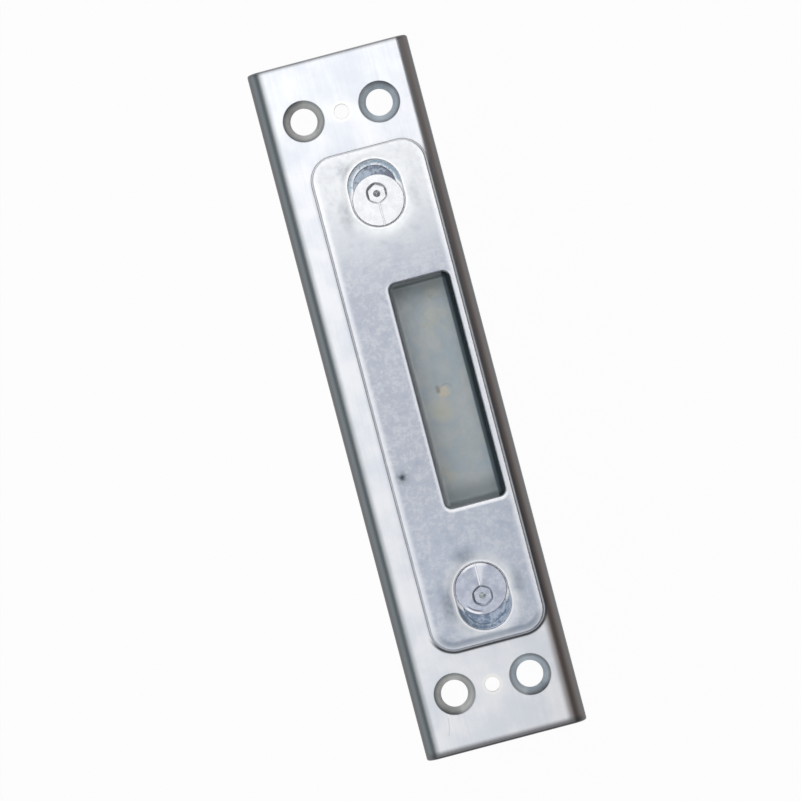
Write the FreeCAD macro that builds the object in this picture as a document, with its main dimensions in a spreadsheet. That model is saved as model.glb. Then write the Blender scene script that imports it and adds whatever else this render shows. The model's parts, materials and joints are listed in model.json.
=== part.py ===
import FreeCAD, Part
import math
import os
import Sketcher
from FreeCAD import Placement, Rotation, Vector

# Adjustable door strike plate: a folded steel channel carries a keeper plate that two eccentric
# cams shift sideways, and a thin drawn box under the bolt opening takes the end of the bolt.
# +X points across the plate to the side of the bolt opening, +Y along it, +Z out of its face.
# The origin is under the middle of the channel, on the plane of the flange rims. Millimetres.

DRIVING_SIZES = [
    # Folded channel
    ("base_width", 33.1),
    ("base_height", 13.0),
    ("sheet_thickness", 2.0),
    ("bend_inside", 0.6),
    ("end_round", 0.45),
    # Fixing holes
    ("screw_pitch", 15.6),
    ("screw_setback", 8.25),
    ("screw_end_margin", 11.85),
    ("screw_hole", 5.4),
    ("screw_sink", 8.4),
    ("sink_angle", 90.0),
    ("pilot_hole", 3.0),
    # Bolt opening and keeper plate
    ("opening_width", 12.55),
    ("opening_length", 46.4),
    ("opening_corner", 1.5),
    ("opening_round", 0.4),
    ("keeper_width", 23.7),
    ("keeper_thickness", 3.2),
    ("keeper_corner", 5.0),
    ("keeper_round", 0.6),
    ("keeper_gap", 0.05),
    ("bar_width", 1.6),
    # Drawn box
    ("box_wall", 0.8),
    ("box_room", 0.05),
    ("box_stand_back", 0.6),
    ("box_corner", 2.0),
    ("box_floor_bend", 1.7),
    ("box_lift", 0.4),
    ("ear_length", 7.0),
    ("ear_corner", 1.5),
    ("weld_mark", 3.0),
    ("weld_depth", 0.2),
    ("floor_dimple", 2.8),
    ("dimple_depth", 0.35),
    # Eccentric cams and their slots
    ("cam_diameter", 10.3),
    ("cam_throw", 1.45),
    ("cam_offset", 0.35),
    ("cam_land", 11.32),
    ("cam_end_land", 2.62),
    ("cam_side_clearance", 0.28),
    ("cam_rim_round", 0.2),
    ("cam_edge_round", 0.25),
    ("cam_sink", 0.1),
    ("cam_gap", 0.05),
    ("ledge_thickness", 1.0),
    ("shank_diameter", 5.0),
    ("shank_fit", 0.05),
    ("shank_travel_room", 0.23),
    ("tail_diameter", 7.5),
    ("tail_thickness", 1.0),
    ("tail_round", 0.7),
    ("socket_flats", 4.0),
    ("socket_depth", 1.8),
    ("socket_dimple", 1.4),
    ("socket_dimple_depth", 0.4),
    ("index_width", 0.4),
    ("index_depth", 0.12),
]

# The keeper moves by this many throws each way when the cams turn a quarter turn
TRAVEL_IN_THROWS = 1.138
# A rounded edge takes at most this share of the bar beside the opening
BAR_ROUND_SHARE = 0.45
# Two edges count as level within this distance
LEVEL = 1e-4

# Sizes that follow from the driving ones, across the plate
FLAT_HALF = "(Sizes.base_width / 2 - Sizes.sheet_thickness - Sizes.bend_inside)"
WEB_UNDER = "(Sizes.base_height - Sizes.sheet_thickness)"
BOX_INNER_WIDTH = "(Sizes.opening_width + 2 * Sizes.box_stand_back)"
BOX_INNER_LENGTH = "(Sizes.opening_length + 2 * Sizes.box_stand_back)"
OPENING_X = "(%s - Sizes.box_room - Sizes.box_wall - %s / 2)" % (FLAT_HALF, BOX_INNER_WIDTH)
KEEPER_X = "(%s + Sizes.opening_width / 2 + Sizes.bar_width - Sizes.keeper_width / 2)" % OPENING_X
CAM_X = "(%s + Sizes.cam_offset)" % KEEPER_X
KEEPER_Z = "(Sizes.base_height + Sizes.keeper_gap)"

# Sizes that follow from the driving ones, from the middle to the ends
CAM_SLOT_WIDTH = "(Sizes.cam_diameter + 2 * Sizes.cam_side_clearance)"
CAM_SLOT_LENGTH = "(%s + 2 * Sizes.cam_throw)" % CAM_SLOT_WIDTH
CAM_Y = "(Sizes.opening_length / 2 + Sizes.cam_land + %s / 2)" % CAM_SLOT_LENGTH
KEEPER_HALF = "(%s + %s / 2 + Sizes.cam_end_land)" % (CAM_Y, CAM_SLOT_LENGTH)
SCREW_Y = "(%s + Sizes.screw_setback)" % KEEPER_HALF
BASE_LENGTH = "(2 * (%s + Sizes.screw_end_margin))" % SCREW_Y

# The shank needs room for the keeper's travel in the lower step of its slot
KEEPER_TRAVEL = "(%s * Sizes.cam_throw)" % TRAVEL_IN_THROWS
STEP_WIDTH = "(Sizes.shank_diameter + 2 * %s + 2 * Sizes.shank_travel_room)" % KEEPER_TRAVEL
CAM_BOTTOM = "(%s + Sizes.ledge_thickness + Sizes.cam_gap)" % KEEPER_Z
CAM_TOP = "(%s + Sizes.keeper_thickness - Sizes.cam_sink)" % KEEPER_Z


def origin_plane(body, role):
    for feature in body.Origin.OriginFeatures:
        if feature.Role == role:
            return feature


def new_body(doc, label, **place):
    body = doc.addObject("PartDesign::Body", label)
    body.Label = label
    for axis, expression in place.items():
        body.setExpression("Placement.Base." + axis, expression)
    return body


def new_sketch(body, name, role="XY_Plane", **offset):
    sketch = body.newObject("Sketcher::SketchObject", name)
    sketch.AttachmentSupport = [(origin_plane(body, role), "")]
    sketch.MapMode = "FlatFace"
    for axis, expression in offset.items():
        sketch.setExpression("AttachmentOffset.Base." + axis, expression)
    return sketch


def bind(sketch, expression, *constraint):
    index = sketch.addConstraint(Sketcher.Constraint(*constraint))
    sketch.setExpression("Constraints[%d]" % index, expression)


def join_tangent(sketch, loop):
    # Each piece of the loop runs smoothly into the next one
    for position, piece in enumerate(loop):
        following = loop[(position + 1) % len(loop)]
        sketch.addConstraint(Sketcher.Constraint("Tangent", piece, 2, following, 1))


def draw_rounded_rectangle(sketch, width, length, radius):
    # A starting shape about the sketch's origin, which the constraints then size
    across, along, corner = 10.0, 20.0, 2.0
    loop = []
    for turn in range(4):
        half_run = (across, along)[turn % 2] - corner
        distance = (along, across)[turn % 2]
        spin = Rotation(Vector(0, 0, 1), 90 * turn)
        start = spin.multVec(Vector(-half_run, -distance, 0))
        end = spin.multVec(Vector(half_run, -distance, 0))
        side = sketch.addGeometry(Part.LineSegment(start, end), False)
        centre = spin.multVec(Vector(half_run, -distance + corner, 0))
        circle = Part.Circle(centre, Vector(0, 0, 1), corner)
        angle = math.radians(90 * turn)
        arc = sketch.addGeometry(Part.ArcOfCircle(circle, angle - math.pi / 2, angle), False)
        loop += [side, arc]
    join_tangent(sketch, loop)
    bottom, first_arc, right, second_arc, top, third_arc, left, fourth_arc = loop
    for side in (bottom, top):
        sketch.addConstraint(Sketcher.Constraint("Horizontal", side))
    for side in (left, right):
        sketch.addConstraint(Sketcher.Constraint("Vertical", side))
    for arc in (second_arc, third_arc, fourth_arc):
        sketch.addConstraint(Sketcher.Constraint("Equal", first_arc, arc))
    sketch.addConstraint(Sketcher.Constraint("Symmetric", first_arc, 3, third_arc, 3, -1, 1))
    bind(sketch, radius, "Radius", first_arc, corner)
    bind(sketch, width, "DistanceX", left, 1, right, 1, 2 * across)
    bind(sketch, length, "DistanceY", bottom, 1, top, 1, 2 * along)


def draw_obround(sketch, width, length):
    # A slot along Y about the sketch's origin
    radius, half = 2.0, 3.0
    upper_circle = Part.Circle(Vector(0, half, 0), Vector(0, 0, 1), radius)
    lower_circle = Part.Circle(Vector(0, -half, 0), Vector(0, 0, 1), radius)
    upper = sketch.addGeometry(Part.ArcOfCircle(upper_circle, 0, math.pi), False)
    left = sketch.addGeometry(Part.LineSegment(Vector(-radius, half, 0), Vector(-radius, -half, 0)), False)
    lower = sketch.addGeometry(Part.ArcOfCircle(lower_circle, math.pi, 2 * math.pi), False)
    right = sketch.addGeometry(Part.LineSegment(Vector(radius, -half, 0), Vector(radius, half, 0)), False)
    join_tangent(sketch, [upper, left, lower, right])
    sketch.addConstraint(Sketcher.Constraint("Equal", upper, lower))
    sketch.addConstraint(Sketcher.Constraint("Vertical", left))
    sketch.addConstraint(Sketcher.Constraint("Symmetric", upper, 3, lower, 3, -1, 1))
    bind(sketch, "%s / 2" % width, "Radius", upper, radius)
    bind(sketch, "%s - %s" % (length, width), "DistanceY", lower, 3, upper, 3, 2 * half)


def draw_circle(sketch, diameter):
    circle = sketch.addGeometry(Part.Circle(Vector(0, 0, 0), Vector(0, 0, 1), 1.0), False)
    sketch.addConstraint(Sketcher.Constraint("Coincident", circle, 3, -1, 1))
    bind(sketch, diameter, "Diameter", circle, 2.0)


def draw_circle_pair(sketch, diameter, half_pitch):
    # Two circles on the Y axis, either side of the X axis
    upper = sketch.addGeometry(Part.Circle(Vector(0, 5, 0), Vector(0, 0, 1), 1.0), False)
    lower = sketch.addGeometry(Part.Circle(Vector(0, -5, 0), Vector(0, 0, 1), 1.0), False)
    sketch.addConstraint(Sketcher.Constraint("PointOnObject", upper, 3, -2))
    sketch.addConstraint(Sketcher.Constraint("Symmetric", upper, 3, lower, 3, -1, 1))
    sketch.addConstraint(Sketcher.Constraint("Equal", upper, lower))
    bind(sketch, diameter, "Diameter", upper, 2.0)
    bind(sketch, half_pitch, "DistanceY", -1, 1, upper, 3, 5.0)


def draw_circle_square(sketch, diameter, half_across, half_along):
    # Four circles, mirrored over both axes
    corners = [(1, 1), (-1, 1), (-1, -1), (1, -1)]
    circles = []
    for across, along in corners:
        centre = Vector(4 * across, 9 * along, 0)
        circles.append(sketch.addGeometry(Part.Circle(centre, Vector(0, 0, 1), 1.0), False))
    first, beside, opposite, below = circles
    sketch.addConstraint(Sketcher.Constraint("Symmetric", first, 3, beside, 3, -2))
    sketch.addConstraint(Sketcher.Constraint("Symmetric", first, 3, below, 3, -1))
    sketch.addConstraint(Sketcher.Constraint("Symmetric", first, 3, opposite, 3, -1, 1))
    for circle in (beside, opposite, below):
        sketch.addConstraint(Sketcher.Constraint("Equal", first, circle))
    bind(sketch, diameter, "Diameter", first, 2.0)
    bind(sketch, half_across, "DistanceX", -1, 1, first, 3, 4.0)
    bind(sketch, half_along, "DistanceY", -1, 1, first, 3, 9.0)


def draw_rectangle(sketch, width, height):
    # A rectangle that stands on the sketch's X axis, centred on its Y axis
    across, up = 5.0, 8.0
    corners = [Vector(-across, 0, 0), Vector(across, 0, 0), Vector(across, up, 0), Vector(-across, up, 0)]
    sides = []
    for position, corner in enumerate(corners):
        following = corners[(position + 1) % 4]
        sides.append(sketch.addGeometry(Part.LineSegment(corner, following), False))
    for position, side in enumerate(sides):
        following = sides[(position + 1) % 4]
        sketch.addConstraint(Sketcher.Constraint("Coincident", side, 2, following, 1))
    bottom, right, top, left = sides
    for side in (bottom, top):
        sketch.addConstraint(Sketcher.Constraint("Horizontal", side))
    for side in (left, right):
        sketch.addConstraint(Sketcher.Constraint("Vertical", side))
    sketch.addConstraint(Sketcher.Constraint("Symmetric", bottom, 1, bottom, 2, -1, 1))
    bind(sketch, width, "DistanceX", bottom, 1, bottom, 2, 2 * across)
    bind(sketch, height, "DistanceY", right, 1, right, 2, up)


def pad(body, sketch, length, symmetric=False):
    feature = body.newObject("PartDesign::Pad", sketch.Name + "_pad")
    feature.Profile = sketch
    feature.SideType = "Symmetric" if symmetric else "One side"
    feature.setExpression("Length", length)
    body.Document.recompute()
    return feature


def pocket(body, sketch, depth, symmetric=False, reverse=False):
    before = body.Shape.Volume
    feature = body.newObject("PartDesign::Pocket", sketch.Name + "_pocket")
    feature.Profile = sketch
    feature.SideType = "Symmetric" if symmetric else "One side"
    feature.Reversed = reverse
    feature.setExpression("Length", depth)
    body.Document.recompute()
    if body.Shape.Volume >= before:
        raise RuntimeError("%s cut nothing" % feature.Name)
    return feature


def fillet(body, name, radius, choose):
    # choose says which edges of the body so far are rounded
    base = body.Tip
    box = base.Shape.optimalBoundingBox(True, False)
    edges = []
    for number, edge in enumerate(base.Shape.Edges, 1):
        if choose(edge, box):
            edges.append("Edge%d" % number)
    if not edges:
        raise RuntimeError("%s found no edges" % name)
    feature = body.newObject("PartDesign::Fillet", name)
    feature.Base = (base, edges)
    feature.setExpression("Radius", radius)
    body.Document.recompute()
    return feature


def is_level(edge, height):
    box = edge.BoundBox
    return abs(box.ZMin - height) < LEVEL and abs(box.ZMax - height) < LEVEL


def runs_along(edge, box):
    return edge.BoundBox.YLength > box.YLength - LEVEL


def build_base_channel(doc):
    body = new_body(doc, "base_channel")
    outside = new_sketch(body, "channel_outside", "XZ_Plane")
    draw_rectangle(outside, "Sizes.base_width", "Sizes.base_height")
    pad(body, outside, BASE_LENGTH, symmetric=True)

    def outer_folds(edge, box):
        return runs_along(edge, box) and is_level(edge, box.ZMax)

    fillet(body, "outer_folds", "Sizes.bend_inside + Sizes.sheet_thickness", outer_folds)

    inside = new_sketch(body, "channel_inside", "XZ_Plane")
    draw_rectangle(inside, "Sizes.base_width - 2 * Sizes.sheet_thickness", WEB_UNDER)
    pocket(body, inside, BASE_LENGTH, symmetric=True)

    def inner_folds(edge, box):
        middle = edge.BoundBox.Center
        inside_flange = abs(middle.x) < box.XMax - LEVEL
        below_face = box.ZMin + LEVEL < middle.z < box.ZMax - LEVEL
        return runs_along(edge, box) and inside_flange and below_face

    fillet(body, "inner_folds", "Sizes.bend_inside", inner_folds)

    def sheared_ends(edge, box):
        edge_box = edge.BoundBox
        middle = edge_box.Center
        at_end = abs(abs(middle.y) - box.YMax) < LEVEL
        on_face_or_fold = edge_box.ZMax > box.ZMax - LEVEL
        on_flange = abs(abs(middle.x) - box.XMax) < LEVEL
        return at_end and (on_face_or_fold or on_flange)

    fillet(body, "sheared_ends", "Sizes.end_round", sheared_ends)

    window = new_sketch(body, "box_window", x=OPENING_X, z="Sizes.base_height")
    draw_rounded_rectangle(window, BOX_INNER_WIDTH, BOX_INNER_LENGTH, "Sizes.box_corner")
    pocket(body, window, "Sizes.sheet_thickness")

    pivots = new_sketch(body, "cam_pivots", x=CAM_X, z="Sizes.base_height")
    draw_circle_pair(pivots, "Sizes.shank_diameter + 2 * Sizes.shank_fit", CAM_Y)
    pocket(body, pivots, "Sizes.sheet_thickness")

    pilots = new_sketch(body, "pilot_holes", z="Sizes.base_height")
    draw_circle_pair(pilots, "Sizes.pilot_hole", SCREW_Y)
    pocket(body, pilots, "Sizes.sheet_thickness")

    screws = new_sketch(body, "screw_holes", z="Sizes.base_height")
    draw_circle_square(screws, "Sizes.screw_hole", "Sizes.screw_pitch / 2", SCREW_Y)
    doc.recompute()
    before = body.Shape.Volume
    hole = body.newObject("PartDesign::Hole", "countersunk_holes")
    hole.Profile = screws
    hole.ThreadType = "None"
    hole.DepthType = "Dimension"
    hole.setExpression("Depth", "Sizes.sheet_thickness")
    hole.DrillPoint = "Flat"
    hole.setExpression("Diameter", "Sizes.screw_hole")
    hole.HoleCutType = "Countersink"
    hole.HoleCutCustomValues = True
    hole.setExpression("HoleCutDiameter", "Sizes.screw_sink")
    hole.setExpression("HoleCutCountersinkAngle", "Sizes.sink_angle")
    doc.recompute()
    if body.Shape.Volume >= before:
        raise RuntimeError("the screw holes cut nothing")
    return body


def build_keeper_plate(doc):
    body = new_body(doc, "keeper_plate", x=KEEPER_X, z=KEEPER_Z)
    outline = new_sketch(body, "keeper_outline")
    draw_rounded_rectangle(outline, "Sizes.keeper_width", "2 * %s" % KEEPER_HALF, "Sizes.keeper_corner")
    pad(body, outline, "Sizes.keeper_thickness")

    def top_edge(edge, box):
        return is_level(edge, box.ZMax)

    bar_limit = "%s * Sizes.bar_width" % BAR_ROUND_SHARE
    fillet(body, "keeper_edge", "min(Sizes.keeper_round; %s)" % bar_limit, top_edge)

    opening_middle = "%s - %s" % (OPENING_X, KEEPER_X)
    opening = new_sketch(body, "bolt_opening", x=opening_middle, z="Sizes.keeper_thickness")
    draw_rounded_rectangle(opening, "Sizes.opening_width", "Sizes.opening_length", "Sizes.opening_corner")
    pocket(body, opening, "Sizes.keeper_thickness")

    def opening_rim(edge, box):
        beside_opening = abs(edge.BoundBox.Center.y) < doc.Sizes.opening_length / 2 + LEVEL
        inside_edge = edge.BoundBox.YLength < doc.Sizes.opening_length + LEVEL
        return is_level(edge, box.ZMax) and beside_opening and inside_edge

    fillet(body, "opening_rim", "min(Sizes.opening_round; %s)" % bar_limit, opening_rim)

    seat = new_sketch(body, "cam_seat", x="Sizes.cam_offset", y=CAM_Y, z="Sizes.keeper_thickness")
    draw_obround(seat, CAM_SLOT_WIDTH, CAM_SLOT_LENGTH)
    seat_cut = pocket(body, seat, "Sizes.keeper_thickness - Sizes.ledge_thickness")

    step = new_sketch(body, "shank_step", x="Sizes.cam_offset", y=CAM_Y, z="Sizes.ledge_thickness")
    draw_obround(step, STEP_WIDTH, "(%s - %s + %s)" % (CAM_SLOT_LENGTH, CAM_SLOT_WIDTH, STEP_WIDTH))
    step_cut = pocket(body, step, "Sizes.ledge_thickness")

    before = body.Shape.Volume
    mirrored = body.newObject("PartDesign::Mirrored", "lower_cam_slot")
    mirrored.Originals = [seat_cut, step_cut]
    mirrored.MirrorPlane = (origin_plane(body, "XZ_Plane"), [""])
    body.Tip = mirrored
    doc.recompute()
    if body.Shape.Volume >= before:
        raise RuntimeError("the lower cam slot cut nothing")

    def cam_rims(edge, box):
        sizes = doc.Sizes
        middle = edge.BoundBox.Center
        half_slot = sizes.cam_diameter / 2 + sizes.cam_side_clearance
        beside_cam = abs(middle.x - sizes.cam_offset) < half_slot + LEVEL
        past_opening = abs(middle.y) > sizes.opening_length / 2 + sizes.cam_land - LEVEL
        before_end = abs(middle.y) < box.YMax - sizes.cam_end_land
        return is_level(edge, box.ZMax) and beside_cam and past_opening and before_end

    fillet(body, "cam_rims", "Sizes.cam_rim_round", cam_rims)
    return body


def build_bolt_box(doc):
    body = new_body(doc, "bolt_box", x=OPENING_X, z="Sizes.box_lift")
    height = "(%s - Sizes.box_lift)" % WEB_UNDER
    outer_width = "(%s + 2 * Sizes.box_wall)" % BOX_INNER_WIDTH
    outer_length = "(%s + 2 * Sizes.box_wall)" % BOX_INNER_LENGTH
    drawn = new_sketch(body, "drawn_outline")
    draw_rounded_rectangle(drawn, outer_width, outer_length, "Sizes.box_corner + Sizes.box_wall")
    pad(body, drawn, height)

    def floor_edge(edge, box):
        return is_level(edge, box.ZMin)

    fillet(body, "floor_bend", "Sizes.box_floor_bend + Sizes.box_wall", floor_edge)

    base = body.Tip
    top = base.Shape.optimalBoundingBox(True, False).ZMax
    mouth = ""
    for number, face in enumerate(base.Shape.Faces, 1):
        if face.BoundBox.ZMin > top - LEVEL:
            mouth = "Face%d" % number
    shell = body.newObject("PartDesign::Thickness", "drawn_wall")
    shell.Base = (base, [mouth])
    shell.setExpression("Value", "Sizes.box_wall")
    shell.Reversed = True
    doc.recompute()

    ear_middle = "%s / 2 - Sizes.box_wall + (Sizes.ear_length + Sizes.box_wall) / 2" % outer_length
    ear = new_sketch(body, "welded_ear", y=ear_middle, z="%s - Sizes.box_wall" % height)
    ear_reach = "Sizes.ear_length + Sizes.box_wall"
    draw_rounded_rectangle(ear, "%s - 2 * Sizes.box_corner" % outer_width, ear_reach, "Sizes.ear_corner")
    ear_pad = pad(body, ear, "Sizes.box_wall")
    spot = new_sketch(body, "weld_spot", y=ear_middle, z="%s - Sizes.box_wall" % height)
    draw_circle(spot, "Sizes.weld_mark")
    spot_cut = pocket(body, spot, "Sizes.weld_depth", reverse=True)
    mirrored = body.newObject("PartDesign::Mirrored", "other_ear")
    mirrored.Originals = [ear_pad, spot_cut]
    mirrored.MirrorPlane = (origin_plane(body, "XZ_Plane"), [""])
    body.Tip = mirrored
    doc.recompute()

    dimple = new_sketch(body, "floor_dimple_outline", z="Sizes.box_wall")
    draw_circle(dimple, "Sizes.floor_dimple")
    pocket(body, dimple, "Sizes.dimple_depth")
    return body


def build_cam(doc, label, side):
    # side is 1 for the upper cam; the lower one, at -1, stands half a turn round
    body = new_body(doc, label, x=CAM_X, y="%d * %s" % (side, CAM_Y))
    body.Placement = Placement(body.Placement.Base, Rotation(Vector(0, 0, 1), 90 - 90 * side))

    tail_bottom = "%s - Sizes.cam_gap - Sizes.tail_thickness" % WEB_UNDER
    tail = new_sketch(body, label + "_tail", z=tail_bottom)
    draw_circle(tail, "Sizes.tail_diameter")
    pad(body, tail, "Sizes.tail_thickness")

    def peened_edge(edge, box):
        return is_level(edge, box.ZMin)

    fillet(body, label + "_peened_edge", "Sizes.tail_round", peened_edge)

    shank = new_sketch(body, label + "_shank", z=tail_bottom)
    draw_circle(shank, "Sizes.shank_diameter")
    pad(body, shank, "%s - (%s)" % (CAM_TOP, tail_bottom))

    disc = new_sketch(body, label + "_disc", y="-Sizes.cam_throw", z=CAM_BOTTOM)
    draw_circle(disc, "Sizes.cam_diameter")
    pad(body, disc, "%s - %s" % (CAM_TOP, CAM_BOTTOM))

    def rim(edge, box):
        return is_level(edge, box.ZMax)

    fillet(body, label + "_rim", "Sizes.cam_edge_round", rim)

    socket = body.newObject("PartDesign::SubtractivePrism", label + "_socket")
    socket.AttachmentSupport = [(origin_plane(body, "XY_Plane"), "")]
    socket.MapMode = "FlatFace"
    socket.Polygon = 6
    socket.setExpression("Circumradius", "Sizes.socket_flats / sqrt(3)")
    socket.setExpression("Height", "Sizes.socket_depth")
    socket.AttachmentOffset = Placement(Vector(0, 0, 0), Rotation(Vector(0, 0, 1), 90))
    socket.setExpression("AttachmentOffset.Base.z", "%s - Sizes.socket_depth" % CAM_TOP)
    doc.recompute()

    dimple = body.newObject("PartDesign::SubtractiveCone", label + "_dimple")
    dimple.AttachmentSupport = [(origin_plane(body, "XY_Plane"), "")]
    dimple.MapMode = "FlatFace"
    dimple.Radius1 = 0
    dimple.setExpression("Radius2", "Sizes.socket_dimple / 2")
    dimple.setExpression("Height", "Sizes.socket_dimple_depth")
    dimple_bottom = "%s - Sizes.socket_depth - Sizes.socket_dimple_depth" % CAM_TOP
    dimple.setExpression("AttachmentOffset.Base.z", dimple_bottom)
    doc.recompute()

    index = body.newObject("PartDesign::SubtractiveBox", label + "_index")
    index.AttachmentSupport = [(origin_plane(body, "XY_Plane"), "")]
    index.MapMode = "FlatFace"
    index.setExpression("Length", "Sizes.index_width")
    index.setExpression("Width", "Sizes.cam_throw + Sizes.cam_diameter / 2")
    index.setExpression("Height", "Sizes.index_depth")
    index.setExpression("AttachmentOffset.Base.x", "-Sizes.index_width / 2")
    index.setExpression("AttachmentOffset.Base.y", "-Sizes.cam_throw - Sizes.cam_diameter / 2")
    index.setExpression("AttachmentOffset.Base.z", "%s - Sizes.index_depth" % CAM_TOP)
    doc.recompute()
    return body


def fill_sheet(doc):
    sheet = doc.addObject("Spreadsheet::Sheet", "Sizes")
    for row, (alias, size) in enumerate(DRIVING_SIZES, 1):
        sheet.set("A%d" % row, alias)
        sheet.set("B%d" % row, str(size))
        sheet.setAlias("B%d" % row, alias)
    doc.recompute()


def check(doc, bodies):
    for item in doc.Objects:
        if "Invalid" in item.State or "Error" in item.State:
            raise RuntimeError("%s did not build" % item.Name)
    for body in bodies:
        if body.Shape.isNull() or not body.Shape.isValid() or len(body.Shape.Solids) != 1:
            raise RuntimeError("%s is not one valid solid" % body.Label)


def main():
    doc = FreeCAD.newDocument("strike_plate")
    fill_sheet(doc)
    bodies = [
        build_base_channel(doc),
        build_keeper_plate(doc),
        build_bolt_box(doc),
        build_cam(doc, "upper_cam", 1),
        build_cam(doc, "lower_cam", -1),
    ]
    doc.recompute()
    check(doc, bodies)
    os.makedirs("parts", exist_ok=True)
    for body in bodies:
        body.Shape.exportStep("parts/%s.step" % body.Label)
        box = body.Shape.optimalBoundingBox(True, False)
        low = (box.XMin, box.YMin, box.ZMin)
        high = (box.XMax, box.YMax, box.ZMax)
        corners = " ".join("%.3f" % value for value in low + high)
        print("%s volume %.1f box %s" % (body.Label, body.Shape.Volume, corners))


main()
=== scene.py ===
import json
import math
import bmesh
import bpy
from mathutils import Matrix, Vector


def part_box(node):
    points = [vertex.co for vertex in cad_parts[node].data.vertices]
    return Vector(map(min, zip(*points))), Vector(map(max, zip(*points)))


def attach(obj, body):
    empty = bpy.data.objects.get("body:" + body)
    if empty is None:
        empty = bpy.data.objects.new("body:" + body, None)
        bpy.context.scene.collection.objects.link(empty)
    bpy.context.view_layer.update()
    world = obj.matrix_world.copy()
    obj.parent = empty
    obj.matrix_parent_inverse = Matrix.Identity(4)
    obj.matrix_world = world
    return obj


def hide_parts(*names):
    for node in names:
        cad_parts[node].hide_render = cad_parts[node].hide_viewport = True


# The part's sizes are in millimetres, and become metres as each mesh is finished
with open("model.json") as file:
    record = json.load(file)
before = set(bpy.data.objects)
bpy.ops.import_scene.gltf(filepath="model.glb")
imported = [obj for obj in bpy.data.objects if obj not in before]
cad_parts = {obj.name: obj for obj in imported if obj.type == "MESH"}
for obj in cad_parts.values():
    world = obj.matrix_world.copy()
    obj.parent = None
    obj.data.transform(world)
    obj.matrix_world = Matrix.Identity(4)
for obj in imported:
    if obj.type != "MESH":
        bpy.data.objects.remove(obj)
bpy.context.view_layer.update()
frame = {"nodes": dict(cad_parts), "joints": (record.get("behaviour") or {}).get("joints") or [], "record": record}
mm = 0.001
mounts = {mount["name"]: mount["dims"] for mount in frame["record"]["mounts"]}
camJoints = [joint for joint in frame["joints"] if "cam" in joint["name"]]
upperPivot, lowerPivot = [Vector(joint["pos_m"]) / mm for joint in camJoints]


def cornersOf(node):
    low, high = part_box(node)
    return low / mm, high / mm


class Wire:
    # One socket of a node tree: sums on it add Math nodes, and make() adds any other node
    def __init__(self, tree, socket=None):
        self.tree = tree
        self.socket = socket

    def make(self, kind, settings=None, values=None, out=0):
        node = self.tree.nodes.new(kind)
        for name, value in (settings or {}).items():
            setattr(node, name, value)
        for name, value in (values or {}).items():
            for each in value if isinstance(value, list) else [value]:
                if isinstance(each, Wire):
                    self.tree.links.new(each.socket, node.inputs[name])
                else:
                    node.inputs[name].default_value = each
        return Wire(self.tree, node.outputs[out] if len(node.outputs) else None)

    def sum(self, operation, *others):
        return self.make("ShaderNodeMath", {"operation": operation}, dict(enumerate((self,) + others)))

    def __add__(self, other):
        return self.sum("ADD", other)

    __radd__ = __add__

    def __mul__(self, other):
        return self.sum("MULTIPLY", other)

    __rmul__ = __mul__

    def __sub__(self, other):
        return self.sum("SUBTRACT", other)

    def __rsub__(self, other):
        return self * -1.0 + other

    def __truediv__(self, other):
        return self.sum("DIVIDE", other)

    def __abs__(self):
        return self.sum("ABSOLUTE")

    def __gt__(self, other):
        return self.sum("GREATER_THAN", other)

    def __lt__(self, other):
        return self.sum("LESS_THAN", other)

    def root(self):
        return self.sum("SQRT")

    def atLeast(self, other):
        return self.sum("MAXIMUM", other)

    def atMost(self, other):
        return self.sum("MINIMUM", other)

    def fade(self, start, end):
        # 0 at start and 1 at end, smooth between them
        ends = {"From Min": min(start, end), "From Max": max(start, end)}
        sense = {"To Min": float(start > end), "To Max": float(start < end)}
        settings = {"interpolation_type": "SMOOTHSTEP"}
        return self.make("ShaderNodeMapRange", settings, {"Value": self, **ends, **sense})

    def blend(self, first, second):
        # From the first colour to the second one as this value goes from 0 to 1
        return self.make("ShaderNodeMix", {"data_type": "RGBA"}, {0: self, 6: first, 7: second}, out=2)

    def split(self):
        outputs = self.make("ShaderNodeSeparateXYZ", values={0: self}).socket.node.outputs
        return [Wire(self.tree, axis) for axis in outputs]


# What the finishes share

def newMetal(name):
    # Gives the material, its shader and the place on the piece in millimetres
    material = bpy.data.materials.new(name)
    material.use_nodes = True
    shader = material.node_tree.nodes["Principled BSDF"]
    shader.inputs["Metallic"].default_value = 1.0
    wire = Wire(material.node_tree)
    place = wire.make("ShaderNodeTexCoord", out=3)
    place = wire.make("ShaderNodeVectorMath", {"operation": "SCALE"}, {0: place, "Scale": 1 / mm})
    return material, shader, place


def connect(shader, name, wire):
    wire.tree.links.new(wire.socket, shader.inputs[name])


def cloud(place, width, detail=3.0, stretch=1.0, offset=0.0, roughness=0.5):
    # Soft noise in patches about this wide, drawn out along Y by stretch
    values = {0: place, "Location": (offset, offset, 0.0), "Scale": (1.0, 1.0 / stretch, 1.0)}
    moved = place.make("ShaderNodeMapping", values=values)
    values = {"Vector": moved, "Scale": 1.0 / width, "Detail": detail, "Roughness": roughness}
    return place.make("ShaderNodeTexNoise", values=values)


def relief(shader, height, depth):
    # height, from 0 to 1, becomes a bump this deep
    bump = height.make("ShaderNodeBump", values={"Distance": depth * mm, "Height": height})
    connect(shader, "Normal", bump)


def fromPoint(x, y, centre):
    across = x - centre[0]
    along = y - centre[1]
    return (across * across + along * along).root()


def fromRectangle(x, y, centre, half, corner):
    # Distance outside a rounded rectangle, less than 0 inside it
    overX = abs(x - centre[0]) - (half[0] - corner)
    overY = abs(y - centre[1]) - (half[1] - corner)
    outX = overX.atLeast(0.0)
    outY = overY.atLeast(0.0)
    inside = overX.atLeast(overY).atMost(0.0)
    return (outX * outX + outY * outY).root() + inside - corner


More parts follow.
